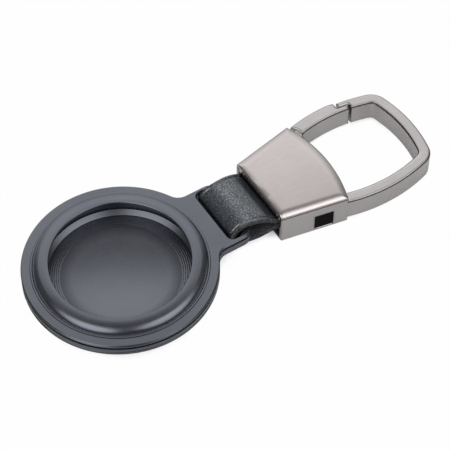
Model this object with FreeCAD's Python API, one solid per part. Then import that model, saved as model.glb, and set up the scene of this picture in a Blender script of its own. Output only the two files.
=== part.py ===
import FreeCAD, Part
import math
import os

os.makedirs("parts", exist_ok=True)

V = FreeCAD.Vector

# Case: round shell in two halves, centred on the Z axis, resting on z = 0
tag_radius = 16.1
floor_thick = 1.9
dish_bowl_radius = 55.0
dish_tread = 0.42
dish_riser = 0.05
dish_steps = 6
band_width = 1.05
band_start_deg = 30.0
band_end_deg = 36.0
rear_height = 5.05
rear_plate = 1.0
front_plate = 1.95
lip_overhang = 1.6
lip_rise = 0.1
lip_slope = 1.05
lip_chamfer = 0.12
bead_wall = 0.93
bead_rise = 1.6
bead_crown_radius = 7.0
bead_roll_radius = 2.0
bead_pass_deg = 12.0
step_width = 0.4
step_rise = 0.2
step_slope = 0.15
flange_width = 1.85
edge_chamfer = 0.25
rim_groove_drop = 0.45
rim_groove_height = 0.65
rim_groove_depth = 0.4
seam_chamfer = 0.12
cup_wall = 1.8
cup_round = 3.0

# Closing spigot on the rear half, bore in the front half
spigot_wall = 0.8
spigot_height = 1.15
closure_clearance = 0.12
spigot_headroom = 0.15

# Pry notch at the end away from the lug
notch_width = 9.0
notch_depth = 1.3
notch_height = 0.8

# Leather strap
strap_half_width = 6.5
strap_flare = 1.0
strap_thick = 1.1
bar_loop_play = 0.28
upper_crown = 10.4
upper_bend = 3.4
pin_run = 3.6

# Lug with the strap slot
slot_play = 0.5
slot_setback = 1.9
slot_room = 0.98
slot_corner = 1.2
slot_chamfer = 0.3
bar_width = 2.2
lug_rail = 0.9
lug_corner = 2.5
lug_fillet = 3.0

# Strap pin
strap_pin_radius = 0.6
strap_pin_play = 0.05
strap_pin_end = 0.5
pin_press = 0.02

# Hook block
mouth_lead = 1.25
mouth_play = 0.25
jamb_width = 0.85
jamb_depth = 3.4
block_flare = 2.9
block_bulge = 2.1
block_wall = 1.0
block_floor = 0.7
block_round = 0.5
block_headroom = 1.44

# Insert that holds the strap pin, with its tab in the window of the near wall
window_width = 4.3
window_height = 4.15
tab_recess = 0.15
tab_play = 0.1
core_play = 0.06
core_start_gap = 0.2
core_headroom = 0.2
core_tab_wall = 0.1
core_tab_depth = 5.5
channel_play = 0.2
channel_room = 0.75

# Cover with rolled edges, a lip over the mouth, pegs, and the post for its large peg
cover_thick = 1.01
cover_roll_radius = 3.6
cover_edge_band = 0.09
cover_mouth_run = 0.7
cover_crown_radius = 300.0
mouth_lip_depth = 0.8
mouth_lip_play = 0.1
jamb_peg_inset = 2.6
jamb_peg_radius = 0.35
jamb_peg_length = 2.2
post_gap = 0.3
post_width = 2.6
post_depth = 4.2
post_peg_radius = 0.7
post_peg_length = 3.0
post_peg_inset = 2.3
peg_play = 0.02
peg_relief = 0.4

# Hook ring
ring_mid_run = 10.0
ring_length = 24.3
ring_flare = 1.2
ring_side_radius = 36.0
ring_end_radius = 32.0
ring_wide = 2.6
ring_inner_corner = 1.4
ring_bottom_z = 0.95
ring_drop = 1.19
ring_bevel = 0.2
ring_embed = 1.2

# Gate hinge
gate_open_deg = 25.0
gate_pin_inset = 1.9
gate_pin_depth = 2.6
gate_pin_radius = 0.7
gate_pin_play = 0.05
gate_pin_sink = 0.05
gate_pin_chamfer = 0.15
knuckle_wall = 1.05
shoulder_clear = 1.4
tongue_step = 0.55
tongue_play = 0.06
tongue_wide = 1.9
tongue_embed = 0.5
cheek_gap = 0.35
cheek_reach = 2.3

# Gate bow, its lapped tip and the nose of the hook
gate_proud = 0.5
nose_run = 5.8
tip_gap = 0.7
lap_length = 1.6
lap_gap = 0.3
gate_corner_run = 1.2
gate_corner_drop = 0.45

# Gate heel and spring
heel_lead = 0.9
heel_trail = 0.7
heel_margin = 0.15
heel_clear = 0.5
spring_arm = 2.8
spring_radius = 0.95
spring_wire = 0.15
spring_turns = 5
pocket_depth = 1.9
pocket_play = 0.15

# Helpers for cutting tools and drawing
over = 1.0
tiny = 0.001
half_share = 0.5
bend_shares = (0.0, 0.5, 1.0)

# Case levels and radii
parting_z = rear_height
flange_z = parting_z + front_plate
rear_bottom_z = parting_z - rear_plate
bead_top_z = flange_z + bead_rise
lip_z = flange_z + lip_rise
lip_under_z = lip_z + lip_slope
lip_radius = tag_radius - lip_overhang
spigot_radius = tag_radius + spigot_wall
bore_radius = spigot_radius + closure_clearance
bead_base_radius = bore_radius + bead_wall
step_radius = bead_base_radius + step_width
case_radius = step_radius + flange_width
cup_radius = tag_radius + cup_wall
band_radius = tag_radius - band_width
dish_radius = band_radius - dish_tread * dish_steps
dish_rim_z = floor_thick + dish_bowl_radius - math.sqrt(dish_bowl_radius ** 2 - dish_radius ** 2)
band_z = dish_rim_z + dish_riser * dish_steps

# Lug and the strap's loop round its bar
bar_height = front_plate + rear_plate
bar_loop_radius = math.hypot(bar_width, bar_height) * half_share + bar_loop_play
slot_half_length = strap_half_width + slot_play
lug_half_width = slot_half_length + lug_rail
slot_inner_x = case_radius + slot_setback
bar_x = slot_inner_x + slot_room + strap_thick + bar_loop_radius
bar_z = rear_bottom_z + bar_height * half_share
slot_outer_x = bar_x - bar_width * half_share
lug_end_x = bar_x + bar_width * half_share

# Middle line of the strap, from the bar to the pin in the block
run_radius = bar_loop_radius + strap_thick * half_share
turn_radius = strap_pin_radius + strap_pin_play + strap_thick * half_share
strap_pin_z = bar_z - run_radius + turn_radius
level_z = strap_pin_z + turn_radius
hump_z = bar_z + run_radius
slope = math.acos(1 - (hump_z - level_z) / (upper_crown + upper_bend))
level_x = bar_x + (upper_crown + upper_bend) * math.sin(slope)
strap_pin_x = level_x + pin_run
turn_outer = turn_radius + strap_thick * half_share

# Block stations along the length
block_start_x = level_x - mouth_lead
jamb_end_x = block_start_x + jamb_depth
core_start_x = jamb_end_x + core_start_gap
channel_end_x = strap_pin_x + turn_outer + channel_room
window_end_x = channel_end_x + window_width
core_tab_end_x = window_end_x + core_tab_wall
post_x = core_tab_end_x + post_gap
block_end_x = post_x + post_width
block_nose_x = block_end_x + block_bulge
gate_pin_x = block_end_x - gate_pin_inset
jamb_peg_x = block_start_x + jamb_peg_inset

# Block widths and levels
strap_end_half = strap_half_width + strap_flare
mouth_half_width = strap_end_half + mouth_play
channel_half_width = strap_end_half + channel_play
block_start_half = mouth_half_width + jamb_width
block_end_half = block_start_half + block_flare
block_top_z = strap_pin_z + turn_outer + block_headroom
mouth_bend = upper_bend - strap_thick * half_share
mouth_strap_z = level_z + upper_bend - math.sqrt(mouth_bend ** 2 - mouth_lead ** 2)
window_top_z = block_floor + window_height
core_top_z = block_top_z - core_headroom
channel_floor_z = strap_pin_z - turn_outer - channel_room
cover_top_z = block_top_z + cover_thick

# Hook ring
ring_mid_x = block_end_x + ring_mid_run
ring_end_x = block_end_x + ring_length
ring_half_width = block_end_half + ring_flare
ring_top_z = block_top_z - ring_drop
ring_side_y = ring_half_width - ring_side_radius
ring_end_centre_x = ring_end_x - ring_end_radius
ring_root_x = block_end_x - ring_embed

# Gate, nose and spring
gate_pin_y = block_end_half - gate_pin_depth
knuckle_radius = gate_pin_radius + knuckle_wall
shoulder_radius = math.hypot(gate_pin_inset, gate_pin_depth) + shoulder_clear
nose_face_x = ring_mid_x + nose_run
gate_tip_x = nose_face_x - tip_gap
nose_tongue_x = gate_tip_x - lap_length
gate_shoulder_x = nose_tongue_x - tip_gap
tongue_bottom_z = ring_bottom_z + tongue_step
tongue_top_z = ring_top_z - tongue_step
tongue_root_x = gate_pin_x + shoulder_radius + tongue_embed
cheek_start_x = gate_pin_x - knuckle_radius - cheek_gap
cheek_inner_y = gate_pin_y - cheek_reach
spring_y = gate_pin_y - spring_arm
spring_z = (tongue_bottom_z + tongue_top_z) * half_share
spring_outer = spring_radius + spring_wire
heel_face_x = gate_pin_x - heel_lead
heel_reach = spring_arm + spring_outer + heel_margin
gate_open = math.radians(gate_open_deg)
heel_swing = heel_lead * math.cos(gate_open) + heel_reach * math.sin(gate_open)
core_end_x = gate_pin_x - heel_swing - heel_clear
spring_seat_x = core_end_x - pocket_depth

# Whole holder
reach = ring_end_x + case_radius
origin_x = (ring_end_x - case_radius) * half_share


def save(shape, name):
    shape = shape.copy()
    shape.translate(V(-origin_x, 0, 0))
    shape.exportStep("parts/" + name + ".step")


def prism(wire, bottom, top):
    face = Part.Face(wire)
    face.translate(V(0, 0, bottom))
    return face.extrude(V(0, 0, top - bottom))


def plan_polygon(points):
    corners = [V(x, y, 0) for x, y in points]
    return Part.makePolygon(corners + [corners[0]])


# Solid turned about the Z axis from the edges of its half section
def spun(edges):
    return Part.Face(Part.Wire(edges)).revolve(V(0, 0, 0), V(0, 0, 1), 360)


def turned(profile):
    corners = [V(r, 0, z) for r, z in profile]
    return spun(Part.makePolygon(corners + [corners[0]]).Edges)


def span(x0, x1, y0, y1, z0, z1):
    return Part.makeBox(x1 - x0, y1 - y0, z1 - z0, V(x0, y0, z0))


def level_edges(shape, z):
    return [e for e in shape.Edges if all(abs(v.Z - z) < tiny for v in e.Vertexes)]


def arc(start, middle, end):
    return Part.Arc(V(*start), V(*middle), V(*end)).toShape()


def line(start, end):
    return Part.makeLine(V(*start), V(*end))


# Point of the XZ plane at a distance from a centre, leaning from straight up towards +X
def polar(x, z, radius, lean):
    return (x + radius * math.sin(lean), 0, z + radius * math.cos(lean))


# Arc of the XZ plane between two leans
def swept(x, z, radius, start, end):
    points = [polar(x, z, radius, start + (end - start) * share) for share in bend_shares]
    return arc(points[0], points[1], points[2])


# Shared outline of both case halves: disc, concave fillets, lug with rounded corners
def case_outline():
    fillet_y = lug_half_width + lug_fillet
    fillet_x = math.sqrt((case_radius + lug_fillet) ** 2 - fillet_y ** 2)
    disc_share = case_radius / (case_radius + lug_fillet)
    swing = math.atan2(fillet_x, fillet_y) * half_share
    sides = {}
    for side in (1, -1):
        on_disc = (fillet_x * disc_share, side * fillet_y * disc_share, 0)
        bend_x = fillet_x - lug_fillet * math.sin(swing)
        bend_y = side * (fillet_y - lug_fillet * math.cos(swing))
        on_lug = (fillet_x, side * lug_half_width, 0)
        corner_start = (lug_end_x - lug_corner, side * lug_half_width, 0)
        cut = lug_corner * (1 - math.sqrt(half_share))
        corner_mid = (lug_end_x - cut, side * (lug_half_width - cut), 0)
        corner_end = (lug_end_x, side * (lug_half_width - lug_corner), 0)
        sides[side] = (on_disc, (bend_x, bend_y, 0), on_lug, corner_start, corner_mid, corner_end)
    near = sides[-1]
    far = sides[1]
    edges = [arc(far[0], (-case_radius, 0, 0), near[0])]
    edges += [arc(near[0], near[1], near[2]), line(near[2], near[3]), arc(near[3], near[4], near[5])]
    edges += [line(near[5], far[5])]
    edges += [arc(far[5], far[4], far[3]), line(far[3], far[2]), arc(far[2], far[1], far[0])]
    return Part.Wire(edges)


# Plate of one case half, with its own edge breaks and the slot for the strap
def case_plate(bottom, top, bottom_break, top_break, open_z):
    plate = prism(case_outline(), bottom, top)
    plate = plate.makeChamfer(bottom_break, level_edges(plate, bottom))
    plate = plate.makeChamfer(top_break, level_edges(plate, top))
    slot = span(slot_inner_x, slot_outer_x, -slot_half_length, slot_half_length, bottom - over, top + over)
    upright = [e for e in slot.Edges if e.Vertexes[0].Z != e.Vertexes[1].Z]
    slot = slot.makeFillet(slot_corner, upright)
    plate = plate.cut(slot)
    rim = []
    for e in level_edges(plate, open_z):
        box = e.BoundBox
        inside = box.XMin > slot_inner_x - tiny and box.XMax < slot_outer_x + tiny
        if inside and box.YMax < slot_half_length + tiny and box.YMin > -slot_half_length - tiny:
            rim.append(e)
    return plate.makeChamfer(slot_chamfer, rim)


# Shadow groove round the edge of the front half
def rim_groove():
    top = flange_z - rim_groove_drop
    bottom = top - rim_groove_height
    floor = case_outline().makeOffset2D(-rim_groove_depth)
    return prism(case_outline(), bottom, top).cut(prism(floor, bottom, top))


def front_shell():
    plate = case_plate(parting_z, flange_z, seam_chamfer, edge_chamfer, flange_z).cut(rim_groove())
    step_z = flange_z + step_rise
    crown_z = bead_top_z - bead_crown_radius
    pass_lean = math.radians(bead_pass_deg)
    roll_reach = bead_crown_radius - bead_roll_radius
    roll_z = crown_z + roll_reach * math.cos(pass_lean)
    foot_lean = math.acos((step_z - roll_z) / bead_roll_radius)
    roll_r = bead_base_radius - bead_roll_radius * math.sin(foot_lean)
    crest_r = roll_r - roll_reach * math.sin(pass_lean)
    lip_lean = math.asin((lip_radius + lip_chamfer - crest_r) / bead_crown_radius)
    lip_top = polar(crest_r, crown_z, bead_crown_radius, lip_lean)
    lip_edge = (lip_radius, 0, lip_top[2] - lip_chamfer)
    inner = (lip_radius, 0, parting_z)
    outer = (step_radius, 0, parting_z)
    step_foot = (step_radius, 0, flange_z)
    step_edge = (step_radius - step_slope, 0, step_z)
    bead_foot = (bead_base_radius, 0, step_z)
    edges = [line(inner, outer), line(outer, step_foot)]
    edges += [line(step_foot, step_edge), line(step_edge, bead_foot)]
    edges += [swept(roll_r, roll_z, bead_roll_radius, foot_lean, pass_lean)]
    edges += [swept(crest_r, crown_z, bead_crown_radius, pass_lean, lip_lean)]
    edges += [line(lip_top, lip_edge), line(lip_edge, inner)]
    bead = spun(edges)
    bore_z = parting_z + spigot_height + spigot_headroom
    bore = turned([
        (0, parting_z - over),
        (bore_radius, parting_z - over),
        (bore_radius, bore_z),
        (tag_radius, bore_z),
        (tag_radius, lip_z),
        (lip_radius, lip_under_z),
        (lip_radius, bead_top_z + over),
        (0, bead_top_z + over),
    ])
    return plate.cut(bore).fuse(bead.cut(bore)).removeSplitter()


def rear_shell():
    plate = case_plate(rear_bottom_z, parting_z, edge_chamfer, seam_chamfer, rear_bottom_z)
    bend = cup_round * math.sqrt(half_share)
    round_mid = (cup_radius - cup_round + bend, 0, cup_round - bend)
    edges = [line((0, 0, 0), (cup_radius - cup_round, 0, 0))]
    edges += [arc((cup_radius - cup_round, 0, 0), round_mid, (cup_radius, 0, cup_round))]
    edges += [line((cup_radius, 0, cup_round), (cup_radius, 0, parting_z))]
    edges += [line((cup_radius, 0, parting_z), (0, 0, parting_z)), line((0, 0, parting_z), (0, 0, 0))]
    cup = spun(edges)
    spigot_top = parting_z + spigot_height
    spigot = turned([
        (lip_radius, parting_z - seam_chamfer),
        (spigot_radius, parting_z - seam_chamfer),
        (spigot_radius, spigot_top - seam_chamfer),
        (spigot_radius - seam_chamfer, spigot_top),
        (lip_radius, spigot_top),
    ])
    bowl_lean = math.asin(dish_radius / dish_bowl_radius)
    dish = [swept(0, floor_thick + dish_bowl_radius, dish_bowl_radius, math.pi, math.pi - bowl_lean)]
    steps = [(dish_radius, 0, dish_rim_z)]
    for k in range(dish_steps):
        tread_z = dish_rim_z + (k + 1) * dish_riser
        steps.append((dish_radius + k * dish_tread, 0, tread_z))
        steps.append((dish_radius + (k + 1) * dish_tread, 0, tread_z))
    dish += [line(a, b) for a, b in zip(steps, steps[1:])]
    band_start = math.radians(band_start_deg)
    band_end = math.radians(band_end_deg)
    band_bend = band_width / (math.sin(band_end) - math.sin(band_start))
    band_r = band_radius - band_bend * math.sin(band_start)
    band_centre_z = band_z + band_bend * math.cos(band_start)
    dish += [swept(band_r, band_centre_z, band_bend, math.pi - band_start, math.pi - band_end)]
    wall_foot = polar(band_r, band_centre_z, band_bend, math.pi - band_end)
    wall_top = (tag_radius, 0, spigot_top + over)
    axis_top = (0, 0, spigot_top + over)
    dish += [line(wall_foot, wall_top), line(wall_top, axis_top), line(axis_top, (0, 0, floor_thick))]
    notch_x = -case_radius - over
    notch = span(
        notch_x, notch_depth - case_radius,
        -notch_width * half_share, notch_width * half_share,
        parting_z - notch_height, parting_z + over)
    shell = plate.fuse(cup).cut(notch).fuse(spigot)
    return shell.cut(spun(dish)).removeSplitter()


# Strap: closed band round the lug bar and the strap pin, wider from the bar to the mouth of the block
def strap():
    def contour(grow):
        run = run_radius + grow
        turn = turn_radius + grow
        bend = upper_bend - grow
        bend_z = level_z + upper_bend
        under = polar(bar_x, bar_z, run, -math.pi)
        below = polar(strap_pin_x, strap_pin_z, turn, math.pi)
        above = polar(strap_pin_x, strap_pin_z, turn, 0)
        level = polar(level_x, bend_z, bend, math.pi)
        edges = [swept(bar_x, bar_z, run, 0, -math.pi), line(under, below)]
        edges += [swept(strap_pin_x, strap_pin_z, turn, math.pi, 0), line(above, level)]
        edges += [swept(level_x, bend_z, bend, math.pi, math.pi + slope)]
        edges += [swept(bar_x, hump_z - upper_crown, upper_crown + grow, slope, 0)]
        return Part.Face(Part.Wire(edges))

    band = contour(strap_thick * half_share).cut(contour(-strap_thick * half_share))
    band.translate(V(0, -reach, 0))
    band = band.extrude(V(0, reach + reach, 0))
    plan = [(case_radius, strap_half_width), (bar_x, strap_half_width), (block_start_x, strap_end_half)]
    plan += [(block_end_x, strap_end_half)]
    outline = plan_polygon(plan + [(x, -y) for x, y in reversed(plan)])
    return band.common(prism(outline, 0, hump_z + strap_thick))


def strap_pin():
    half = channel_half_width + strap_pin_end
    base = V(strap_pin_x, -half, strap_pin_z)
    return Part.makeCylinder(strap_pin_radius, half + half, base, V(0, 1, 0))


# Half width of the block at a station along its length
def block_half(x):
    slant = (block_end_half - block_start_half) / (block_end_x - block_start_x)
    return block_start_half + (x - block_start_x) * slant


# Closed block outline, drawn in by an inset on the sides and the hook end
def block_outline(start_x, inset):
    end_x = block_end_x - inset
    end_y = block_half(end_x) - inset
    start_y = block_half(start_x) - inset
    edges = [line((start_x, -start_y, 0), (end_x, -end_y, 0))]
    edges += [arc((end_x, -end_y, 0), (block_nose_x - inset, 0, 0), (end_x, end_y, 0))]
    edges += [line((end_x, end_y, 0), (start_x, start_y, 0))]
    edges += [line((start_x, start_y, 0), (start_x, -start_y, 0))]
    return Part.Wire(edges)


# Hook ring before it is parted into arm, nose and gate
def ring_region(inset):
    height = ring_top_z - ring_bottom_z
    side = ring_side_radius - inset
    end = ring_end_radius - inset
    region = Part.makeCylinder(side, height, V(ring_mid_x, ring_side_y, ring_bottom_z))
    region = region.common(Part.makeCylinder(side, height, V(ring_mid_x, -ring_side_y, ring_bottom_z)))
    region = region.common(Part.makeCylinder(end, height, V(ring_end_centre_x, 0, ring_bottom_z)))
    upright = []
    for e in region.Edges:
        box = e.BoundBox
        if box.ZLength > height - tiny and box.XMin > ring_mid_x:
            upright.append(e)
    return region.makeFillet(ring_inner_corner + ring_wide - inset, upright)


def hook_ring(proud):
    ring = ring_region(-proud).cut(ring_region(ring_wide))
    ring = ring.cut(span(-reach, ring_root_x, -reach, reach, -over, ring_top_z + over))
    breaks = []
    for e in level_edges(ring, ring_top_z) + level_edges(ring, ring_bottom_z):
        if e.BoundBox.XMax > ring_root_x + tiny:
            breaks.append(e)
    return ring.makeChamfer(ring_bevel, breaks)


# Inner or outer half of the far arm, split along its middle line with the lap gap
def lap_core(gap):
    radius = ring_side_radius - ring_wide * half_share + gap * half_share
    height = ring_top_z - ring_bottom_z + over + over
    return Part.makeCylinder(radius, height, V(ring_mid_x, ring_side_y, ring_bottom_z - over))


def hook_frame():
    block = prism(block_outline(block_start_x, 0), 0, block_top_z)
    block = block.makeFillet(block_round, level_edges(block, 0))
    block = block.makeChamfer(seam_chamfer, level_edges(block, block_top_z))
    room = prism(block_outline(jamb_end_x, block_wall), block_floor, block_top_z + over)
    mouth = span(
        block_start_x - over, jamb_end_x + over,
        -mouth_half_width, mouth_half_width, block_floor, block_top_z + over)
    post = span(post_x, block_nose_x, -reach, post_depth - block_end_half, block_floor, block_top_z + over)
    cheek = span(cheek_start_x, block_nose_x, cheek_inner_y, reach, block_floor, block_top_z + over)
    block = block.cut(room.cut(post).cut(cheek)).cut(mouth)
    ring = hook_ring(0)
    low = ring_bottom_z - over
    high = ring_top_z + over
    gate_room = span(ring_root_x - over, nose_tongue_x, 0, reach, low, high)
    lap_room = span(nose_tongue_x, nose_face_x, 0, reach, low, high).common(lap_core(lap_gap))
    ring = ring.cut(gate_room).cut(lap_room)
    frame = block.fuse(ring)
    slot = span(
        cheek_start_x, block_nose_x + over, cheek_inner_y - over, block_end_half + over,
        tongue_bottom_z - tongue_play, tongue_top_z + tongue_play)
    frame = frame.cut(slot)
    window = span(
        channel_end_x, window_end_x, -reach, -channel_half_width,
        block_floor, window_top_z)
    frame = frame.cut(window)
    pin_hole = Part.makeCylinder(
        gate_pin_radius + pin_press, block_top_z + over + over, V(gate_pin_x, gate_pin_y, -over))
    frame = frame.cut(pin_hole)
    for x, y, radius, length in cover_pegs():
        depth = length + peg_relief
        hole = Part.makeCylinder(radius + peg_play, depth + over, V(x, y, block_top_z - depth))
        frame = frame.cut(hole)
    return frame.removeSplitter()


# Pegs of the cover: place, radius and length
def cover_pegs():
    jamb_peg_y = (mouth_half_width + block_half(jamb_peg_x)) * half_share
    post_peg_x = post_x + post_width * half_share
    return [
        (jamb_peg_x, -jamb_peg_y, jamb_peg_radius, jamb_peg_length),
        (jamb_peg_x, jamb_peg_y, jamb_peg_radius, jamb_peg_length),
        (post_peg_x, post_peg_inset - block_end_half, post_peg_radius, post_peg_length),
    ]


def block_cover():
    outline = block_outline(block_start_x, 0)
    crown_drop = cover_crown_radius - math.sqrt(cover_crown_radius ** 2 - block_end_half ** 2)
    roll_drop = cover_thick - crown_drop - seam_chamfer - cover_edge_band
    overhang = cover_roll_radius - math.sqrt(cover_roll_radius ** 2 - (cover_roll_radius - roll_drop) ** 2)
    corners = ("arc", "tangent", "sharp").index("sharp")
    wide = block_outline(block_start_x - cover_mouth_run, 0).makeOffset2D(overhang, corners)
    blank = prism(wide, block_top_z - cover_roll_radius, cover_top_z + over)
    crown_z = cover_top_z - cover_crown_radius
    crown = Part.makeCylinder(cover_crown_radius, reach + reach, V(-over, 0, crown_z), V(1, 0, 0))
    blank = blank.common(crown)
    upper = []
    for e in blank.Edges:
        if e.BoundBox.ZMin > block_top_z:
            upper.append(e)
    blank = blank.makeFillet(cover_roll_radius, upper)
    plate = blank.common(prism(outline, block_top_z, cover_top_z + over))
    plate = plate.makeChamfer(seam_chamfer, level_edges(plate, block_top_z))
    lip = span(
        block_start_x, block_start_x + mouth_lip_depth,
        mouth_lip_play - mouth_half_width, mouth_half_width - mouth_lip_play,
        mouth_strap_z + mouth_play, block_top_z + seam_chamfer)
    plate = plate.fuse(lip)
    for x, y, radius, length in cover_pegs():
        plate = plate.fuse(Part.makeCylinder(radius, length + seam_chamfer, V(x, y, block_top_z - length)))
    return plate.removeSplitter()


# Insert that carries the strap pin and seats the gate spring
def strap_core():
    def core_half(x):
        return block_half(x) - block_wall - core_play

    outline = plan_polygon([
        (core_start_x, -core_half(core_start_x)),
        (core_tab_end_x, -core_half(core_tab_end_x)),
        (core_tab_end_x, core_tab_depth - core_half(core_tab_end_x)),
        (core_end_x, core_tab_depth - core_half(core_tab_end_x)),
        (core_end_x, core_half(core_end_x)),
        (core_start_x, core_half(core_start_x)),
    ])
    core = prism(outline, block_floor, core_top_z)
    channel = span(
        core_start_x - over, channel_end_x, -channel_half_width, channel_half_width,
        channel_floor_z, core_top_z + over)
    core = core.cut(channel)
    tab_start = channel_end_x + tab_play
    tab_end = window_end_x - tab_play
    tab = plan_polygon([
        (tab_start, -block_half(tab_start) + tab_recess),
        (tab_end, -block_half(tab_end) + tab_recess),
        (tab_end, -channel_half_width),
        (tab_start, -channel_half_width),
    ])
    core = core.fuse(prism(tab, block_floor, window_top_z - tab_play))
    pin_room = Part.makeCylinder(
        strap_pin_radius + pin_press, reach + reach, V(strap_pin_x, -reach, strap_pin_z), V(0, 1, 0))
    core = core.cut(pin_room)
    pocket = Part.makeCylinder(
        spring_outer + pocket_play, pocket_depth + over, V(spring_seat_x, spring_y, spring_z), V(1, 0, 0))
    return core.cut(pocket).removeSplitter()


# Wedge taken off the gate's outer corner at the lap
def gate_corner():
    def arm_y(x):
        return ring_side_y + math.sqrt((ring_side_radius + gate_proud) ** 2 - (x - ring_mid_x) ** 2)

    start_x = gate_shoulder_x - gate_corner_run
    low_y = arm_y(gate_shoulder_x) - gate_corner_drop
    wedge = plan_polygon([
        (start_x, arm_y(start_x)),
        (gate_shoulder_x, low_y),
        (gate_shoulder_x + over, low_y),
        (gate_shoulder_x + over, reach),
        (start_x, reach),
    ])
    return prism(wedge, ring_bottom_z - over, ring_top_z + over)


def gate():
    ring = hook_ring(gate_proud)
    low = ring_bottom_z - over
    high = ring_top_z + over
    body = ring.common(span(ring_root_x - over, gate_shoulder_x, 0, reach, low, high))
    shoulder = Part.makeCylinder(shoulder_radius, high - low, V(gate_pin_x, gate_pin_y, low))
    body = body.cut(shoulder).cut(gate_corner())
    tip = ring.common(span(gate_shoulder_x - over, gate_tip_x, 0, reach, low, high))
    body = body.fuse(tip.common(lap_core(-lap_gap)))
    thick = tongue_top_z - tongue_bottom_z
    knuckle = Part.makeCylinder(knuckle_radius, thick, V(gate_pin_x, gate_pin_y, tongue_bottom_z))
    arm_radius = ring_side_radius - ring_wide * half_share
    root_y = ring_side_y + math.sqrt(arm_radius ** 2 - (tongue_root_x - ring_mid_x) ** 2)
    tongue = prism(plan_polygon([
        (gate_pin_x, gate_pin_y + knuckle_radius),
        (gate_pin_x, gate_pin_y - knuckle_radius),
        (tongue_root_x, root_y - tongue_wide * half_share),
        (tongue_root_x, root_y + tongue_wide * half_share),
    ]), tongue_bottom_z, tongue_top_z)
    heel_half = spring_outer + heel_margin
    heel = span(
        heel_face_x, gate_pin_x + heel_trail, gate_pin_y - heel_reach, gate_pin_y,
        spring_z - heel_half, spring_z + heel_half)
    body = body.fuse(knuckle).fuse(tongue).fuse(heel)
    bore_base = V(gate_pin_x, gate_pin_y, tongue_bottom_z - over)
    bore = Part.makeCylinder(gate_pin_radius + gate_pin_play, thick + over + over, bore_base)
    return body.cut(bore).removeSplitter()


def gate_pin():
    length = block_top_z - gate_pin_sink
    pin = Part.makeCylinder(gate_pin_radius, length, V(gate_pin_x, gate_pin_y, 0))
    return pin.makeChamfer(gate_pin_chamfer, level_edges(pin, 0) + level_edges(pin, length))


def gate_spring():
    start = spring_seat_x + spring_wire
    length = heel_face_x - spring_wire - start
    coil = Part.makeHelix(length / spring_turns, length, spring_radius)
    ring = Part.Wire([Part.Circle(V(spring_radius, 0, 0), V(0, 1, 0), spring_wire).toShape()])
    wound = Part.Wire(coil.Edges).makePipeShell([ring], True, True)
    wound.rotate(V(0, 0, 0), V(0, 1, 0), 90)
    wound.translate(V(start, spring_y, spring_z))
    return wound


pieces = {
    "front_shell": front_shell,
    "rear_shell": rear_shell,
    "strap": strap,
    "strap_pin": strap_pin,
    "strap_core": strap_core,
    "hook_frame": hook_frame,
    "block_cover": block_cover,
    "gate": gate,
    "gate_pin": gate_pin,
    "gate_spring": gate_spring,
}
for name, make in pieces.items():
    save(make(), name)
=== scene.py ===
import math

import bmesh
import bpy
from mathutils import Matrix, Vector


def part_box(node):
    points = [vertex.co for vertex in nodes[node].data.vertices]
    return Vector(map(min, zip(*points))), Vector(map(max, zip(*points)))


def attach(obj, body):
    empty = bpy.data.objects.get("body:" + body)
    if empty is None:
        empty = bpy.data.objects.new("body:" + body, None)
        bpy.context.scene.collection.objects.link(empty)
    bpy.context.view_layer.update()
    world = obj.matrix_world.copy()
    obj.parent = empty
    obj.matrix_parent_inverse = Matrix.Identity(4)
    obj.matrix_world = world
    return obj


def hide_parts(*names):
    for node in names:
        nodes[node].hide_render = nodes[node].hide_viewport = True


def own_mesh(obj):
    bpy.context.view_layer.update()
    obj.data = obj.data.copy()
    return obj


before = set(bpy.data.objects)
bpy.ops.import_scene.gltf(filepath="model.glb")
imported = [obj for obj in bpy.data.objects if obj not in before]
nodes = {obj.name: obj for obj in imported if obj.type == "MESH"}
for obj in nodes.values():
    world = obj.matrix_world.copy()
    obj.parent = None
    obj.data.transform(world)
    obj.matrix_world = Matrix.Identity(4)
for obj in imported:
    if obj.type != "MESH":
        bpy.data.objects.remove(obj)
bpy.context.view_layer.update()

MM = 0.001

# Case centre at the flange, and the photograph's camera round it
CASE_CENTRE = Vector((-26.157, 0.0, 7.0)) * MM
VIEW_TURN = math.radians(32.6)
VIEW_TILT = math.radians(52.63)
STAND_OFF = 380.5 * MM
SLIDE_RIGHT = 21.19 * MM
SLIDE_UP = 7.84 * MM
LENS = 150.4
FILM = 36.0
NEAREST_SEEN = 10 * MM

# Shares of a noise's range: what most of its grain fills, and what its drawn lines fill
GRAIN_SPAN = (0.3, 0.7)
LINES_SPAN = (0.25, 0.75)

# Rubbed edges: lean of the rounded normal, patches of wear and the least of it
EDGE_LEAN = (0.015, 0.16)
WEAR_SPAN = (0.35, 0.7)
LEAST_WEAR = 0.25
WEAR_SAMPLES = 6
ROUNDING_SAMPLES = 16

# Fine turned steps round the cavity floor: tread, and where they start, end and lie below the flange
STEP_TREAD = 0.42 * MM
STEPS_FROM = (12.3 * MM, 12.6 * MM)
STEPS_TO = (14.9 * MM, 15.1 * MM)
STEPS_ABOVE = (-4.4 * MM, -4.0 * MM)

# Painted shade inside the cavity: darker toward the floor's edge, and on the band above the steps
FLOOR_SHADE = (10.0 * MM, 12.9 * MM)
FLOOR_EDGE = (12.5 * MM, 12.56 * MM)
BAND_FROM = (14.6 * MM, 14.7 * MM)
BAND_SHADE = 0.35
INSIDE_ABOVE = (-5.6 * MM, -5.3 * MM)

# Painted shade: a dark line on the hook's narrow slanted edge faces, by how far a face looks up or
# down
EDGE_LINE_FROM = (0.4, 0.6)
EDGE_LINE_TO = (0.85, 0.95)
EDGE_LINE_SHARE = 0.9

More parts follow.
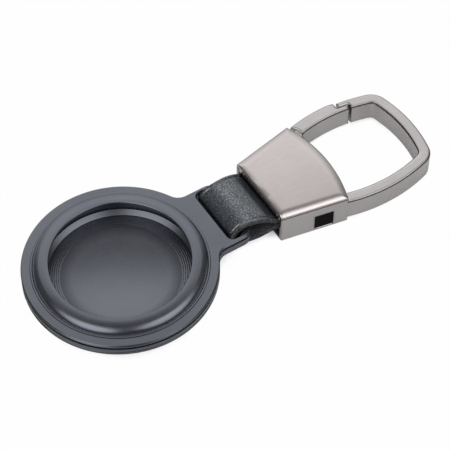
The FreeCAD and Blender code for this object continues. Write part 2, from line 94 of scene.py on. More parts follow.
# Strap, as its solid runs round the lug bar and the strap pin (mm)
BAR_X, BAR_Z, BAR_RUN = 0.1426, 5.525, 2.6701
CROWN_RUN, BEND_RUN = 10.4, 3.4
LEVEL_X, LEVEL_Z = 8.6574, 5.255
PIN_X, PIN_Z, PIN_TURN = 12.2574, 4.055, 1.2
MOUTH_X = 7.4074
STRAP_HALF_WIDTH = 6.5
STRAP_FLARE = 1.0
STRAP_HALF_THICK = 0.55
STATION_STEP = 0.2
ROW_STEP = 0.36
EDGE_ROW_STEP = 0.09
EDGE_ROWS = 14
EDGE_ROUND = 0.34
EDGE_STEPS = 5
CREASE_INSET = 0.85
CREASE_HALF = 0.16
CREASE_DEPTH = 0.1

# Lower layer's rise to the block's mouth and its fall behind it, and the loop's bulge at the bar (mm)
PINCH = 0.9
PINCH_RISE = (2.6, 7.2)
PINCH_FALL = (8.4, 11.4)
BAR_BULGE = 0.65

# Finishes in the strap's material slots
GRAIN_SIDE, CUT_EDGE, FLESH_SIDE = range(3)

# Gate return spring: wire radius, turns, facets a turn and round the wire
SPRING_WIRE = 0.15 * MM
SPRING_TURNS = 5
SPRING_STEPS = 28
WIRE_SIDES = 10

# White paper floor: half width, drop below the part, grey under its glow, shares of the glow that
# the camera and the metal see, and the reach and span of the part's shadow
FLOOR_REACH = 2.5
FLOOR_DROP = 0.05 * MM
PAPER_GREY = (0.6, 0.6, 0.6, 1.0)
PAPER_GLOW = (1.0, 1.0, 1.0, 1.0)
GLOW_SEEN = 0.985
GLOW_MIRRORED = 0.12
SHADOW_REACH = 12 * MM
SHADOW_SPAN = (0.06, 0.26)
SHADOW_SAMPLES = 8

# Studio: softboxes in front left, above left, in front right and above right
# (turn, lift, inner and outer angle, glow), and a white wall behind
SOFTBOXES = (
    (-140.0, 53.0, 12.0, 35.0, 1.8),
    (-95.0, 74.0, 6.0, 24.0, 0.35),
    (117.0, 54.0, 10.0, 35.0, 1.6),
    (75.0, 70.0, 5.0, 24.0, 0.4),
)
SOFTBOX_GAP = (0.03, 0.26)
SOFTBOX_GAP_TURN = -0.12
SOFTBOX_GAP_GLOW = 0.04
WALL_TURN = -5.0
WALL_NARROWING = 0.15
WALL_EDGE = (0.5, 0.9)
WALL_FOOT = (0.0, 0.75, 0.5, 1.0)
WALL_TOP = (0.76, 0.97)
WALL_GLOW = 1.2
WALL_HIGH_GLOW = 0.08
ROOM_GLOW = 0.12

# Lamp above and a little behind the part
LAMP_SIZE = 1.0
LAMP_POWER = 1.5
LAMP_BEHIND = 0.25
LAMP_HEIGHT = 1.0


# ---------------------------------------------------------------- node helpers

def put(tree, kind, label=None, **settings):
    node = tree.nodes.new(kind)
    if label:
        node.label = label
    for key, value in settings.items():
        setattr(node, key, value)
    return node


def feed(tree, socket, source):
    """Link a socket to a source, or give it a plain value."""
    if isinstance(source, bpy.types.NodeSocket):
        tree.links.new(source, socket)
    else:
        socket.default_value = source


def maths(tree, operation, a, b=0.0, clamp=False):
    node = put(tree, "ShaderNodeMath", operation=operation, use_clamp=clamp)
    feed(tree, node.inputs[0], a)
    feed(tree, node.inputs[1], b)
    return node.outputs[0]


def vectors(tree, operation, a, b=None):
    node = put(tree, "ShaderNodeVectorMath", operation=operation)
    feed(tree, node.inputs[0], a)
    if b is not None:
        feed(tree, node.inputs[1], b)
    return node.outputs["Value" if operation in ("DOT_PRODUCT", "LENGTH") else "Vector"]


def height_of(tree, vector):
    node = put(tree, "ShaderNodeSeparateXYZ")
    feed(tree, node.inputs[0], vector)
    return node.outputs["Z"]


def spread(tree, value, low, high, to_low=0.0, to_high=1.0, smooth=False):
    """Carry a value from one span to another, held at both ends."""
    node = put(tree, "ShaderNodeMapRange", clamp=True)
    node.interpolation_type = "SMOOTHSTEP" if smooth else "LINEAR"
    for socket, source in zip(node.inputs, (value, low, high, to_low, to_high)):
        feed(tree, socket, source)
    return node.outputs[0]


def tint(tree, mask, low, high):
    """Colour between two colours, as a mask goes from 0 to 1."""
    node = put(tree, "ShaderNodeMix", data_type="RGBA")
    for index, source in ((0, mask), (6, low), (7, high)):
        if isinstance(source, tuple) and len(source) == 3:
            source = (*source, 1.0)
        feed(tree, node.inputs[index], source)
    return node.outputs[2]


def noise(tree, place, scale, detail, rough):
    node = put(tree, "ShaderNodeTexNoise")
    feed(tree, node.inputs["Vector"], place)
    feed(tree, node.inputs["Scale"], scale)
    node.inputs["Detail"].default_value = detail
    node.inputs["Roughness"].default_value = rough
    return node.outputs[0]


def place_on_piece(tree):
    return put(tree, "ShaderNodeTexCoord").outputs["Object"]


def new_group(name, inputs, outputs):
    tree = bpy.data.node_groups.new(name, "ShaderNodeTree")
    for label, kind, value in inputs:
        kind = "NodeSocket" + kind
        socket = tree.interface.new_socket(label, in_out="INPUT", socket_type=kind)
        socket.default_value = value
    for label, kind in outputs:
        tree.interface.new_socket(label, in_out="OUTPUT", socket_type="NodeSocket" + kind)
    return tree, put(tree, "NodeGroupInput").outputs, put(tree, "NodeGroupOutput").inputs


def use_group(tree, name, **values):
    node = put(tree, "ShaderNodeGroup", label=name)
    node.node_tree = bpy.data.node_groups[name]
    for key, value in values.items():
        feed(tree, node.inputs[key.replace("_", " ")], value)
    return node.outputs


# ---------------------------------------------------------------- shared effects

def make_rubbed_edges():
    """Mask of edges in patches, for wear and for the hook's painted edge shade: where the rounded
    normal leans off the face's own.
    """
    tree, take, give = new_group(
        "rubbed edges",
        [("Reach", "Float", 0.2 * MM), ("Patch Scale", "Float", 400.0), ("Amount", "Float", 1.0)],
        [("Mask", "Float")])
    bevel = put(tree, "ShaderNodeBevel", samples=WEAR_SAMPLES)
    feed(tree, bevel.inputs["Radius"], take["Reach"])
    face = put(tree, "ShaderNodeNewGeometry").outputs["Normal"]
    lean = maths(tree, "SUBTRACT", 1.0, vectors(tree, "DOT_PRODUCT", bevel.outputs[0], face))
    patch = noise(tree, place_on_piece(tree), take["Patch Scale"], detail=3.0, rough=0.6)
    wear = spread(tree, patch, *WEAR_SPAN, LEAST_WEAR, 1.0)
    worn = maths(tree, "MULTIPLY", spread(tree, lean, *EDGE_LEAN), wear)
    feed(tree, give["Mask"], maths(tree, "MULTIPLY", worn, take["Amount"], clamp=True))


def make_fine_grain():
    """Fine grain of a surface, and the wide soft patches in its colour and gloss."""
    tree, take, give = new_group(
        "fine grain",
        [("Scale", "Float", 4000.0), ("Patch Scale", "Float", 120.0)],
        [("Grain", "Float"), ("Patches", "Float")])
    place = place_on_piece(tree)
    feed(tree, give["Grain"], noise(tree, place, take["Scale"], detail=3.0, rough=0.6))
    patch = noise(tree, place, take["Patch Scale"], detail=4.0, rough=0.55)
    feed(tree, give["Patches"], spread(tree, patch, *GRAIN_SPAN, smooth=True))


def make_brush_lines():
    """Lines drawn along one direction of the piece."""
    tree, take, give = new_group(
        "brush lines",
        [("Stretch", "Vector", (1.0, 12.0, 12.0)), ("Scale", "Float", 900.0)],
        [("Lines", "Float")])
    drawn = vectors(tree, "MULTIPLY", place_on_piece(tree), take["Stretch"])
    feed(tree, give["Lines"], noise(tree, drawn, take["Scale"], detail=3.0, rough=0.65))


def make_turned_lines():
    """Marks round the case's axis: turning lines, the cavity's steps, and the cavity's painted shade.
    """
    tree, take, give = new_group(
        "turned lines",
        [("Centre", "Vector", tuple(CASE_CENTRE)), ("Pitch Scale", "Float", 5000.0)],
        [("Lines", "Float"), ("Steps", "Float"), ("Shade", "Float")])
    off = vectors(tree, "SUBTRACT", place_on_piece(tree), take["Centre"])
    radius = vectors(tree, "LENGTH", vectors(tree, "MULTIPLY", off, (1.0, 1.0, 0.0)))
    height = height_of(tree, off)
    ring = put(tree, "ShaderNodeTexNoise", noise_dimensions="1D")
    feed(tree, ring.inputs["W"], radius)
    feed(tree, ring.inputs["Scale"], take["Pitch Scale"])
    ring.inputs["Detail"].default_value = 2.0
    feed(tree, give["Lines"], ring.outputs[0])

    wave = maths(tree, "SINE", maths(tree, "MULTIPLY", radius, 2 * math.pi / STEP_TREAD))
    started = spread(tree, radius, *STEPS_FROM)
    band = maths(tree, "MULTIPLY", started, spread(tree, radius, *STEPS_TO, 1.0, 0.0))
    band = maths(tree, "MULTIPLY", band, spread(tree, height, *STEPS_ABOVE))
    feed(tree, give["Steps"], maths(tree, "MULTIPLY", wave, band))

    # Painted shade: rises toward the floor's edge and on the band above the steps, inside the cavity
    # only
    floor = spread(tree, radius, *FLOOR_SHADE)
    floor = maths(tree, "MULTIPLY", floor, spread(tree, radius, *FLOOR_EDGE, 1.0, 0.0))
    shade = maths(tree, "MAXIMUM", floor, spread(tree, radius, *BAND_FROM, 0.0, BAND_SHADE))
    inside = spread(tree, height, *INSIDE_ABOVE)
    feed(tree, give["Shade"], maths(tree, "MULTIPLY", shade, inside))


for make in (make_rubbed_edges, make_fine_grain, make_brush_lines, make_turned_lines):
    make()


# ---------------------------------------------------------------- finishes

def new_finish(name):
    finish = bpy.data.materials.new(name)
    finish.use_nodes = True
    tree = finish.node_tree
    tree.nodes.clear()
    shader = put(tree, "ShaderNodeBsdfPrincipled")
    tree.links.new(shader.outputs[0], put(tree, "ShaderNodeOutputMaterial").inputs["Surface"])
    return finish, tree, shader.inputs


def raise_surface(tree, height, strength, depth, under=None):
    """Normal of a surface raised by a height, over the normal of what lies under it."""
    bump = put(tree, "ShaderNodeBump")
    bump.inputs["Strength"].default_value = strength
    bump.inputs["Distance"].default_value = depth
    feed(tree, bump.inputs["Height"], height)
    if under is not None:
        feed(tree, bump.inputs["Normal"], under)
    return bump.outputs[0]


def soft_edges(tree, radius):
    """Normal that rounds a casting's edges."""
    rounding = put(tree, "ShaderNodeBevel", samples=ROUNDING_SAMPLES)
    rounding.inputs["Radius"].default_value = radius
    return rounding.outputs[0]


def case_lacquer(name, smooth, satin, stepped=False):
    finish, tree, to = new_finish(name)
    thin, full, pitted = (0.196, 0.207, 0.240), (0.226, 0.237, 0.272), (0.158, 0.167, 0.198)
    painted_cavity_shade, rubbed = (0.088, 0.093, 0.108), (0.36, 0.37, 0.40)
    grain = use_group(tree, "fine grain", Scale=5200.0, Patch_Scale=90.0)
    rub = use_group(tree, "rubbed edges", Reach=0.16 * MM, Patch_Scale=500.0, Amount=0.8)
    lines = use_group(tree, "turned lines", Pitch_Scale=4200.0)

    slate = tint(tree, grain["Patches"], thin, full)
    pits = spread(tree, grain["Grain"], *GRAIN_SPAN, 0.0, 0.30)
    slate = tint(tree, pits, slate, pitted)
    if stepped:
        # Painted shade: darker base colour toward the cavity floor's edge and on the band above the
        # steps
        slate = tint(tree, lines["Shade"], slate, painted_cavity_shade)
    feed(tree, to["Base Color"], tint(tree, rub["Mask"], slate, rubbed))
    to["Metallic"].default_value = 0.92

    rough = spread(tree, grain["Patches"], 0.0, 1.0, smooth, satin)
    uneven = spread(tree, grain["Grain"], *GRAIN_SPAN, -0.02, 0.02)
    feed(tree, to["Roughness"], maths(tree, "ADD", rough, uneven))

    skin = raise_surface(tree, grain["Grain"], strength=0.10, depth=0.05 * MM)
    if stepped:
        skin = raise_surface(tree, lines["Steps"], strength=0.35, depth=0.04 * MM, under=skin)
    skin = raise_surface(tree, lines["Lines"], strength=0.10, depth=0.06 * MM, under=skin)
    feed(tree, to["Normal"], skin)
    return finish


def hook_plating():
    finish, tree, to = new_finish("hook_plating")
    dull, clear, brushed = (0.66, 0.632, 0.628), (0.72, 0.69, 0.685), (0.59, 0.565, 0.562)
    painted_edge_shade, rubbed = (0.04, 0.038, 0.039), (0.3, 0.288, 0.286)
    grain = use_group(tree, "fine grain", Scale=6000.0, Patch_Scale=110.0)
    rub = use_group(tree, "rubbed edges", Reach=0.18 * MM, Patch_Scale=600.0, Amount=1.2)
    lines = use_group(tree, "brush lines", Stretch=(1.0, 9.0, 14.0), Scale=420.0)

    plate = tint(tree, grain["Patches"], dull, clear)
    plate = tint(tree, spread(tree, lines["Lines"], *GRAIN_SPAN, 0.0, 0.4), plate, brushed)
    # Painted shade on the slanted edge faces, picked by how far each face looks up or down
    facing = height_of(tree, put(tree, "ShaderNodeTexCoord").outputs["Normal"])
    upright = maths(tree, "ABSOLUTE", facing)
    slanted = spread(tree, upright, *EDGE_LINE_FROM)
    level = spread(tree, upright, *EDGE_LINE_TO, 1.0, 0.0)
    slanted = maths(tree, "MULTIPLY", slanted, level)
    plate = tint(tree, maths(tree, "MULTIPLY", slanted, EDGE_LINE_SHARE), plate, painted_edge_shade)
    # On the hook the rubbed-edge colour is darker than the plate: worn patches that carry painted
    # shade along the edges
    feed(tree, to["Base Color"], tint(tree, rub["Mask"], plate, rubbed))
    to["Metallic"].default_value = 1.0
    feed(tree, to["Roughness"], spread(tree, lines["Lines"], *LINES_SPAN, 0.20, 0.28))

    skin = soft_edges(tree, 0.8 * MM)
    skin = raise_surface(tree, grain["Grain"], strength=0.05, depth=0.03 * MM, under=skin)
    skin = raise_surface(tree, lines["Lines"], strength=0.06, depth=0.04 * MM, under=skin)
    feed(tree, to["Normal"], skin)
    return finish


def cover_plating():
    finish, tree, to = new_finish("cover_plating")
    dull, clear, brushed = (0.69, 0.635, 0.628), (0.74, 0.682, 0.674), (0.64, 0.59, 0.584)
    rubbed = (0.80, 0.77, 0.755)
    grain = use_group(tree, "fine grain", Scale=6500.0, Patch_Scale=70.0)
    rub = use_group(tree, "rubbed edges", Reach=0.2 * MM, Patch_Scale=600.0, Amount=0.4)
    lines = use_group(tree, "brush lines", Stretch=(1.0, 10.0, 10.0), Scale=380.0)

    plate = tint(tree, grain["Patches"], dull, clear)
    plate = tint(tree, spread(tree, lines["Lines"], *GRAIN_SPAN, 0.0, 0.25), plate, brushed)
    feed(tree, to["Base Color"], tint(tree, rub["Mask"], plate, rubbed))
    to["Metallic"].default_value = 1.0
    feed(tree, to["Roughness"], spread(tree, lines["Lines"], *LINES_SPAN, 0.18, 0.24))

    skin = soft_edges(tree, 0.7 * MM)
    skin = raise_surface(tree, grain["Grain"], strength=0.03, depth=0.02 * MM, under=skin)
    skin = raise_surface(tree, lines["Lines"], strength=0.03, depth=0.03 * MM, under=skin)
    feed(tree, to["Normal"], skin)
    return finish


def strap_hide():
    finish, tree, to = new_finish("strap_hide")
    dark, light, between = (0.006, 0.007, 0.011), (0.011, 0.013, 0.018), (0.003, 0.004, 0.006)
    place = place_on_piece(tree)
    grain = use_group(tree, "fine grain", Scale=2600.0, Patch_Scale=260.0)
    pebble = put(tree, "ShaderNodeTexVoronoi", feature="SMOOTH_F1")
    feed(tree, pebble.inputs["Vector"], place)
    pebble.inputs["Scale"].default_value = 3400.0
    pebble.inputs["Smoothness"].default_value = 0.1
    pebble.inputs["Randomness"].default_value = 1.0
    bumps = spread(tree, pebble.outputs["Distance"], 0.05, 0.6, 1.0, 0.0, smooth=True)
    broken = spread(tree, grain["Grain"], 0.35, 0.6, 0.3, 1.0)
    bumps = maths(tree, "MULTIPLY", bumps, broken)
    wrinkle = noise(tree, place, 620.0, detail=4.0, rough=0.6)
    wrinkle = spread(tree, wrinkle, 0.35, 0.65)

    hide = tint(tree, grain["Patches"], dark, light)
    feed(tree, to["Base Color"], tint(tree, bumps, between, hide))
    rough = spread(tree, bumps, 0.0, 1.0, 0.36, 0.28)
    uneven = spread(tree, grain["Patches"], 0.0, 1.0, -0.04, 0.05)
    feed(tree, to["Roughness"], maths(tree, "ADD", rough, uneven))
    to["IOR"].default_value = 2.25
    to["Specular Tint"].default_value = (0.82, 0.89, 1.0, 1.0)
    feed(tree, to["Coat Weight"], spread(tree, bumps, 0.04, 0.4, 0.1, 1.0))
    to["Coat Roughness"].default_value = 0.24
    to["Coat IOR"].default_value = 3.6
    to["Coat Tint"].default_value = (0.86, 0.93, 1.0, 1.0)

    skin = raise_surface(tree, wrinkle, strength=0.22, depth=0.1 * MM)
    skin = raise_surface(tree, bumps, strength=0.45, depth=0.1 * MM, under=skin)
    skin = raise_surface(tree, grain["Grain"], strength=0.25, depth=0.04 * MM, under=skin)
    feed(tree, to["Normal"], skin)
    return finish


def strap_cut_edge():
    finish, tree, to = new_finish("strap_cut_edge")
    dark, light, fibre_dark = (0.11, 0.114, 0.12), (0.2, 0.204, 0.212), (0.022, 0.023, 0.026)
    grain = use_group(tree, "fine grain", Scale=3800.0, Patch_Scale=420.0)
    fibre = use_group(tree, "brush lines", Stretch=(1.0, 1.6, 1.6), Scale=2000.0)

    edge = tint(tree, grain["Patches"], dark, light)
    edge = tint(tree, spread(tree, fibre["Lines"], 0.38, 0.6), edge, fibre_dark)
    feed(tree, to["Base Color"], edge)
    feed(tree, to["Roughness"], spread(tree, fibre["Lines"], 0.2, 0.8, 0.65, 0.9))

    skin = raise_surface(tree, fibre["Lines"], strength=0.7, depth=0.14 * MM)
    skin = raise_surface(tree, grain["Grain"], strength=0.3, depth=0.05 * MM, under=skin)
    feed(tree, to["Normal"], skin)
    return finish


def strap_flesh_side():
    finish, tree, to = new_finish("strap_flesh_side")
    dark, light, between = (0.115, 0.119, 0.126), (0.185, 0.19, 0.2), (0.03, 0.032, 0.036)
    grain = use_group(tree, "fine grain", Scale=2600.0, Patch_Scale=500.0)
    fibre = noise(tree, place_on_piece(tree), 1800.0, detail=5.0, rough=0.7)
    fibre = spread(tree, fibre, *GRAIN_SPAN)

    nap = tint(tree, grain["Patches"], dark, light)
    feed(tree, to["Base Color"], tint(tree, fibre, between, nap))
    feed(tree, to["Roughness"], spread(tree, grain["Grain"], *GRAIN_SPAN, 0.8, 0.95))
    to["Specular IOR Level"].default_value = 0.3

    skin = raise_surface(tree, fibre, strength=0.5, depth=0.12 * MM)
    skin = raise_surface(tree, grain["Grain"], strength=0.4, depth=0.05 * MM, under=skin)
    feed(tree, to["Normal"], skin)
    return finish


def moulded_insert():
    finish, tree, to = new_finish("moulded_insert")
    dark, light, rubbed = (0.004, 0.004, 0.0045), (0.008, 0.008, 0.0085), (0.03, 0.03, 0.032)
    grain = use_group(tree, "fine grain", Scale=4200.0, Patch_Scale=200.0)
    rub = use_group(tree, "rubbed edges", Reach=0.12 * MM, Patch_Scale=700.0, Amount=0.4)

    black = tint(tree, grain["Patches"], dark, light)
    feed(tree, to["Base Color"], tint(tree, rub["Mask"], black, rubbed))
    feed(tree, to["Roughness"], spread(tree, grain["Grain"], *GRAIN_SPAN, 0.48, 0.62))
    to["Specular IOR Level"].default_value = 0.08
    skin = raise_surface(tree, grain["Grain"], strength=0.25, depth=0.05 * MM)
    feed(tree, to["Normal"], skin)
    return finish


def drawn_steel():
    finish, tree, to = new_finish("drawn_steel")
    dull, clear, drawn = (0.50, 0.50, 0.50), (0.60, 0.60, 0.595), (0.4, 0.4, 0.4)
    grain = use_group(tree, "fine grain", Scale=5000.0, Patch_Scale=260.0)
    lines = use_group(tree, "brush lines", Stretch=(8.0, 1.0, 8.0), Scale=700.0)

    bare = tint(tree, grain["Patches"], dull, clear)
    bare = tint(tree, spread(tree, lines["Lines"], *GRAIN_SPAN, 0.0, 0.5), bare, drawn)
    feed(tree, to["Base Color"], bare)
    to["Metallic"].default_value = 1.0
    feed(tree, to["Roughness"], spread(tree, lines["Lines"], *LINES_SPAN, 0.22, 0.4))
    skin = raise_surface(tree, lines["Lines"], strength=0.15, depth=0.05 * MM)
    feed(tree, to["Normal"], skin)
    return finish


def dress(node, finish):
    mesh = nodes[node].data
    mesh.materials.clear()
    mesh.materials.append(finish)


plating = hook_plating()
steel = drawn_steel()
dress("front_shell", case_lacquer("case_lacquer", smooth=0.19, satin=0.23))
dress("rear_shell", case_lacquer("case_satin_lacquer", smooth=0.25, satin=0.30, stepped=True))
for node in ("hook_frame", "gate"):
    dress(node, plating)
for node in ("strap_pin", "gate_pin"):
    dress(node, steel)
dress("block_cover", cover_plating())
dress("strap_core", moulded_insert())


# ---------------------------------------------------------------- mesh helpers

def add(name, data):
    """New object in the scene."""
    thing = bpy.data.objects.new(name, data)
    bpy.context.scene.collection.objects.link(thing)
    return thing


def mesh_piece(name, build, *finishes):
    """Object of a built mesh, with its faces outward."""
    mesh = bpy.data.meshes.new(name)
    bmesh.ops.recalc_face_normals(build, faces=build.faces)
    build.to_mesh(mesh)
    build.free()
    for finish in finishes:
        mesh.materials.append(finish)
    return add(name, mesh)


def ease(value, low, high):
    share = min(1.0, max(0.0, (value - low) / (high - low)))
    return share * share * (3.0 - 2.0 * share)


# ---------------------------------------------------------------- leather strap

def strap_line():
    """Points (x, z) along the strap's middle line, once round its loop, grain side outward."""
    slope = math.acos(1 - (BAR_Z + BAR_RUN - LEVEL_Z) / (CROWN_RUN + BEND_RUN))
    line = []

    def on(x, z, radius, lean):
        return x + radius * math.sin(lean), z + radius * math.cos(lean)

    def bend(x, z, radius, start, end, bulge=0.0):
        count = max(2, round(abs(end - start) * radius / STATION_STEP))
        for k in range(count):
            lean = start + (end - start) * k / count
            line.append(on(x - bulge * math.sin(lean) ** 2, z, radius, lean))

    def run(start, end, lift=0.0):
        length = math.hypot(end[0] - start[0], end[1] - start[1])
        count = max(2, round(length / STATION_STEP))
        for k in range(count):
            share = k / count
            x = start[0] + (end[0] - start[0]) * share
            z = start[1] + (end[1] - start[1]) * share
            line.append((x, z + lift * (ease(x, *PINCH_RISE) - ease(x, *PINCH_FALL))))

    bend(BAR_X, BAR_Z, BAR_RUN, 0.0, -math.pi, BAR_BULGE)
    run(on(BAR_X, BAR_Z, BAR_RUN, -math.pi), on(PIN_X, PIN_Z, PIN_TURN, math.pi), PINCH)
    bend(PIN_X, PIN_Z, PIN_TURN, math.pi, 0.0)
    run(on(PIN_X, PIN_Z, PIN_TURN, 0.0), (LEVEL_X, LEVEL_Z))
    bend(LEVEL_X, LEVEL_Z + BEND_RUN, BEND_RUN, math.pi, math.pi + slope)
    bend(BAR_X, BAR_Z + BAR_RUN - CROWN_RUN, CROWN_RUN, slope, 0.0)
    return line


def strap_rows(flat):
    """Places across the grain side, closer together over the creases."""
    inner = flat - EDGE_ROWS * EDGE_ROW_STEP
    count = round(2 * inner / ROW_STEP)
    rows = [-flat + EDGE_ROW_STEP * k for k in range(EDGE_ROWS)]
    rows += [-inner + 2 * inner * k / count for k in range(count + 1)]
    return rows + [inner + EDGE_ROW_STEP * (k + 1) for k in range(EDGE_ROWS)]


def strap_section():
    """Closed section across the strap: (across, out, finish), grain side first."""
    flat = STRAP_HALF_WIDTH - EDGE_ROUND
    corner = STRAP_HALF_THICK - EDGE_ROUND
    rows = strap_rows(flat)
    turns = [math.pi / 2 * k / EDGE_STEPS for k in range(1, EDGE_STEPS)]
    rounding = [(flat + EDGE_ROUND * math.sin(turn), corner + EDGE_ROUND * math.cos(turn))
                for turn in turns]
    section = []
    for y in rows:
        groove = math.exp(-((abs(y) - STRAP_HALF_WIDTH + CREASE_INSET) / CREASE_HALF) ** 2)
        section.append((y, STRAP_HALF_THICK - CREASE_DEPTH * groove, GRAIN_SIDE))
    for side in (1, -1):
        if side < 0:
            section += [(y, -STRAP_HALF_THICK, FLESH_SIDE) for y in reversed(rows)]
        section += [(side * y, side * out, CUT_EDGE) for y, out in rounding]
        section.append((side * STRAP_HALF_WIDTH, side * corner, CUT_EDGE))
        section.append((side * STRAP_HALF_WIDTH, -side * corner, CUT_EDGE))
        section += [(side * y, -side * out, CUT_EDGE) for y, out in reversed(rounding)]
    return section


def make_strap(*finishes):
    """Leather band swept round its loop, wider toward the block's mouth."""
    line = strap_line()
    section = strap_section()
    build = bmesh.new()
    rings = []
    for i, (x, z) in enumerate(line):
        before, after = line[i - 1], line[(i + 1) % len(line)]
        along = Vector((after[0] - before[0], after[1] - before[1])).normalized()
        share = min(1.0, max(0.0, (x - BAR_X) / (MOUTH_X - BAR_X)))
        widen = 1.0 + STRAP_FLARE / STRAP_HALF_WIDTH * share
        places = [(x + along.y * out, y * widen, z - along.x * out) for y, out, _ in section]
        rings.append([build.verts.new((a * MM, b * MM, c * MM)) for a, b, c in places])
    for i, ring in enumerate(rings):
        following = rings[(i + 1) % len(rings)]
        for j in range(len(section)):
            k = (j + 1) % len(section)
            face = build.faces.new((ring[j], ring[k], following[k], following[j]))
            face.smooth = True
            face.material_index = max(section[j][2], section[k][2])
    strap = mesh_piece("leather_strap", build, *finishes)
    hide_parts("strap")
    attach(strap, "hook")


make_strap(strap_hide(), strap_cut_edge(), strap_flesh_side())


# ---------------------------------------------------------------- gate spring

def make_gate_spring(finish):
    """Coil along x from its seat in the insert to the gate's heel."""
    low, high = (Vector(corner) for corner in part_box("gate_spring"))
    middle = (low + high) / 2
    coil = (high.z - low.z) / 2 - SPRING_WIRE
    start, end = low.x + SPRING_WIRE, high.x - SPRING_WIRE
    count = SPRING_TURNS * SPRING_STEPS
    lengthwise = Vector((1.0, 0.0, 0.0))
    leans = [2 * math.pi * k / WIRE_SIDES for k in range(WIRE_SIDES)]
    build = bmesh.new()
    rings = []
    for i in range(count + 1):
        turn = 2 * math.pi * i / SPRING_STEPS
        spoke = Vector((0.0, math.cos(turn), math.sin(turn)))
        wire = Vector((start + (end - start) * i / count, middle.y, middle.z)) + spoke * coil
        sides = [spoke * math.cos(lean) + lengthwise * math.sin(lean) for lean in leans]
        rings.append([build.verts.new(wire + side * SPRING_WIRE) for side in sides])
    for ring, following in zip(rings, rings[1:]):
        for j in range(WIRE_SIDES):
            k = (j + 1) % WIRE_SIDES
            build.faces.new((ring[j], ring[k], following[k], following[j])).smooth = True
    build.faces.new(rings[0])
    build.faces.new(rings[-1])
    spring = mesh_piece("gate_return_spring", build, finish)
    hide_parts("gate_spring")
    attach(spring, "hook")
    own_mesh(spring)


make_gate_spring(steel)


# ---------------------------------------------------------------- floor, light and camera

right = Vector((math.cos(VIEW_TURN), -math.sin(VIEW_TURN), 0.0))
away = Vector((math.sin(VIEW_TURN), math.cos(VIEW_TURN), 0.0))
forward = away * math.cos(VIEW_TILT) - Vector((0.0, 0.0, math.sin(VIEW_TILT)))
upward = away * math.sin(VIEW_TILT) + Vector((0.0, 0.0, math.cos(VIEW_TILT)))


def white_paper():
    """Paper that the camera sees as white, with the part's shadow close round it."""
    paper = bpy.data.materials.new("white_paper")
    paper.use_nodes = True
    tree = paper.node_tree
    tree.nodes.clear()
    sheet = put(tree, "ShaderNodeBsdfDiffuse")
    sheet.inputs["Color"].default_value = PAPER_GREY
    glow = put(tree, "ShaderNodeEmission")
    glow.inputs["Color"].default_value = PAPER_GLOW
    path = put(tree, "ShaderNodeLightPath").outputs
    seen = maths(tree, "MAXIMUM", path["Is Camera Ray"], path["Is Transmission Ray"])
    mirrored = maths(tree, "MULTIPLY", path["Is Glossy Ray"], GLOW_MIRRORED)
    cover = put(tree, "ShaderNodeAmbientOcclusion", samples=SHADOW_SAMPLES)
    cover.inputs["Distance"].default_value = SHADOW_REACH
    open_floor = spread(tree, cover.outputs["AO"], *SHADOW_SPAN, smooth=True)
    lit = maths(tree, "MULTIPLY", maths(tree, "MULTIPLY", seen, GLOW_SEEN), open_floor)
    mix = put(tree, "ShaderNodeMixShader")
    feed(tree, mix.inputs[0], maths(tree, "ADD", lit, mirrored))
    feed(tree, mix.inputs[1], sheet.outputs[0])
    feed(tree, mix.inputs[2], glow.outputs[0])
    tree.links.new(mix.outputs[0], put(tree, "ShaderNodeOutputMaterial").inputs["Surface"])
    return paper


def make_floor():
    mesh = bpy.data.meshes.new("floor")
    ways = ((-1, -1), (1, -1), (1, 1), (-1, 1))
    corners = [(x * FLOOR_REACH, y * FLOOR_REACH, 0.0) for x, y in ways]
    mesh.from_pydata(corners, [], [(0, 1, 2, 3)])
    mesh.materials.append(white_paper())
    floor = add("floor", mesh)
    floor.location.z = -FLOOR_DROP


def toward(turn, lift):
    """Direction at a turn to the right of straight away from the camera, lifted above the floor."""
    turn, lift = math.radians(turn), math.radians(lift)
    level = away * math.cos(turn) + right * math.sin(turn)
    return level * math.cos(lift) + Vector((0.0, 0.0, math.sin(lift)))


def along_way(tree, look, way):
    return vectors(tree, "DOT_PRODUCT", look, tuple(way))


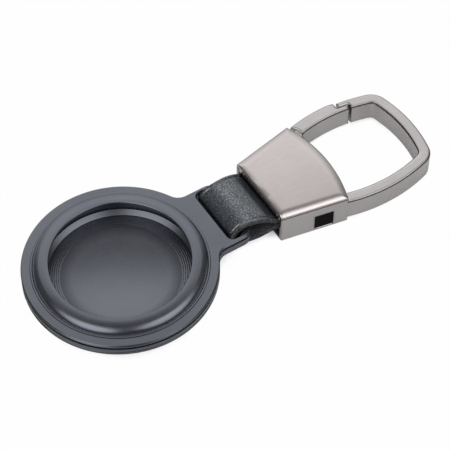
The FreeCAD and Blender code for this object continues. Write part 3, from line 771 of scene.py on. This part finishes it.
def make_sky():
    """Room with a white wall behind the part and softboxes parted by a dark gap."""
    world = bpy.data.worlds.new("studio")
    bpy.context.scene.world = world
    world.use_nodes = True
    tree = world.node_tree
    tree.nodes.clear()
    look = put(tree, "ShaderNodeTexCoord").outputs["Generated"]
    level = height_of(tree, look)
    flat = maths(tree, "SUBTRACT", 1.0, maths(tree, "MULTIPLY", level, level), clamp=True)
    flat = maths(tree, "ADD", maths(tree, "SQRT", flat), WALL_NARROWING)
    wall = maths(tree, "DIVIDE", along_way(tree, look, toward(WALL_TURN, 0.0)), flat)
    wall = spread(tree, wall, *WALL_EDGE, smooth=True)
    wall = maths(tree, "MULTIPLY", wall, spread(tree, level, *WALL_FOOT))
    wall_glow = spread(tree, level, *WALL_TOP, WALL_GLOW, WALL_HIGH_GLOW)
    glow = maths(tree, "MULTIPLY", wall, wall_glow)
    aside = maths(tree, "ABSOLUTE", along_way(tree, look, right - away * SOFTBOX_GAP_TURN))
    gap = spread(tree, aside, *SOFTBOX_GAP, SOFTBOX_GAP_GLOW, 1.0, smooth=True)
    for turn, lift, inner, outer, strength in SOFTBOXES:
        near = along_way(tree, look, toward(turn, lift))
        edge, core = math.cos(math.radians(outer)), math.cos(math.radians(inner))
        box = spread(tree, near, edge, core, 0.0, strength, smooth=True)
        glow = maths(tree, "ADD", glow, maths(tree, "MULTIPLY", box, gap))
    back = put(tree, "ShaderNodeBackground")
    feed(tree, back.inputs["Strength"], maths(tree, "ADD", glow, ROOM_GLOW))
    tree.links.new(back.outputs[0], put(tree, "ShaderNodeOutputWorld").inputs["Surface"])


def make_lamp():
    lamp = bpy.data.lights.new("softbox", "AREA")
    lamp.shape = "SQUARE"
    lamp.size = LAMP_SIZE
    lamp.energy = LAMP_POWER
    box = add("softbox", lamp)
    box.location = away * LAMP_BEHIND + Vector((0.0, 0.0, LAMP_HEIGHT))
    box.rotation_euler = (-box.location).to_track_quat("-Z", "Y").to_euler()
    box.visible_glossy = False


def make_camera():
    lens = bpy.data.cameras.new("photo_view")
    lens.lens = LENS
    lens.sensor_width = FILM
    lens.clip_start = NEAREST_SEEN
    camera = add("photo_view", lens)
    stand = CASE_CENTRE - forward * STAND_OFF + right * SLIDE_RIGHT + upward * SLIDE_UP
    turn = Matrix((right, upward, -forward)).transposed().to_4x4()
    camera.matrix_world = Matrix.Translation(stand) @ turn
    bpy.context.scene.camera = camera


make_floor()
make_sky()
make_lamp()
make_camera()
bpy.context.scene.view_settings.view_transform = "Standard"
